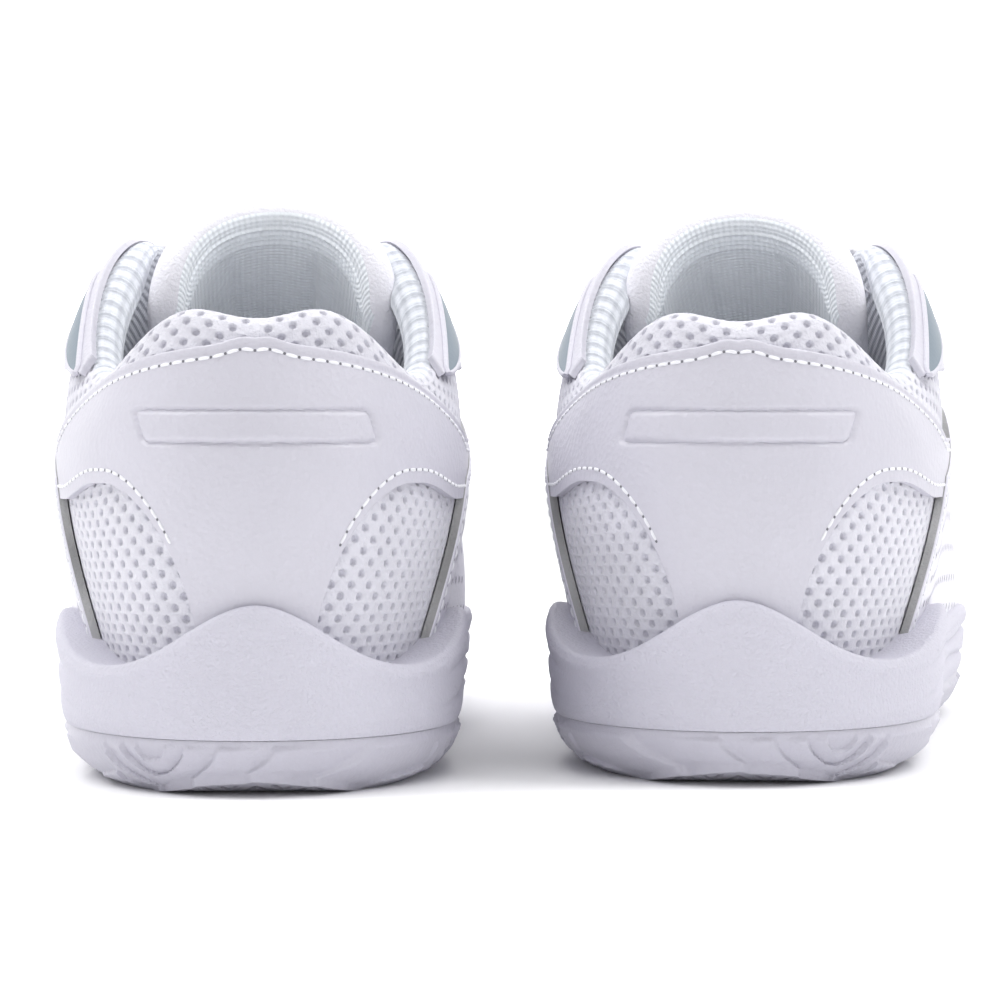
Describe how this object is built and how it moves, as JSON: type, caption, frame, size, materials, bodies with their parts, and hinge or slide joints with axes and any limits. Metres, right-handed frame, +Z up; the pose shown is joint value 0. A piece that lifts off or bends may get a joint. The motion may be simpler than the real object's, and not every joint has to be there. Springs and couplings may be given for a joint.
{
  "type": "pair of cheer shoes",
  "caption": "Pair of low white cheer shoes: padded mesh collar, leather heel panel and side panels, arched padded tongue, flat laces, waved rubber-and-foam sole.",
  "frame": {"origin": "centre of the pair footprint on the ground they stand on", "axes": "+Z up, +Y towards the toes, +X to the right seen from behind the heels"},
  "size_m": [0.1932, 0.2794, 0.106],
  "materials": {
    "outsole_rubber": "matte, fine textured",
    "midsole_foam": "matte, fine stipple",
    "board": "matte",
    "sock_liner": "soft",
    "stiffener": "matte",
    "spacer_mesh": "open knit",
    "padding": "soft foam",
    "knit_lining": "fine knit",
    "accent": "glossy",
    "lace": "flat braid",
    "leather": "fine pebble grain"
  },
  "bodies": {
    "left_shoe": {"left_collar_foam": "padding", "left_collar_lining": "knit_lining", "left_heel_counter": "stiffener", "left_heel_overlay": "leather", "left_insole_board": "board", "left_lace": "lace", "left_lateral_accent": "accent", "left_lateral_eyestay": "leather", "left_lateral_quarter_mesh": "spacer_mesh", "left_lateral_quarter_overlay": "leather", "left_medial_accent": "accent", "left_medial_eyestay": "leather", "left_medial_quarter_mesh": "spacer_mesh", "left_medial_quarter_overlay": "leather", "left_midsole": "midsole_foam", "left_outsole": "outsole_rubber", "left_sock_liner": "sock_liner", "left_toe_overlay": "leather", "left_toe_puff": "stiffener", "left_vamp_mesh": "spacer_mesh"},
    "left_tongue": {"left_tongue_foam": "padding", "left_tongue_lining": "knit_lining", "left_tongue_shell": "knit_lining"},
    "right_shoe": {"right_collar_foam": "padding", "right_collar_lining": "knit_lining", "right_heel_counter": "stiffener", "right_heel_overlay": "leather", "right_insole_board": "board", "right_lace": "lace", "right_lateral_accent": "accent", "right_lateral_eyestay": "leather", "right_lateral_quarter_mesh": "spacer_mesh", "right_lateral_quarter_overlay": "leather", "right_medial_accent": "accent", "right_medial_eyestay": "leather", "right_medial_quarter_mesh": "spacer_mesh", "right_medial_quarter_overlay": "leather", "right_midsole": "midsole_foam", "right_outsole": "outsole_rubber", "right_sock_liner": "sock_liner", "right_toe_overlay": "leather", "right_toe_puff": "stiffener", "right_vamp_mesh": "spacer_mesh"},
    "right_tongue": {"right_tongue_foam": "padding", "right_tongue_lining": "knit_lining", "right_tongue_shell": "knit_lining"}
  },
  "joints": [
    {"name": "left_tongue_swing", "type": "hinge", "parent": "left_shoe", "child": "left_tongue", "pos_m": [-0.05297, 0.04745, 0.051], "axis": [0.999, 0.0436, 0], "range_deg": [0, 8]},
    {"name": "right_tongue_swing", "type": "hinge", "parent": "right_shoe", "child": "right_tongue", "pos_m": [0.05329, 0.06374, 0.051], "axis": [0.9952, -0.0976, 0], "range_deg": [0, 8]},
    {"name": "right_shoe_lift", "type": "slide", "parent": "left_shoe", "child": "right_shoe", "axis": [0, 0, 1], "range_m": [0, 0.15]}
  ]
}
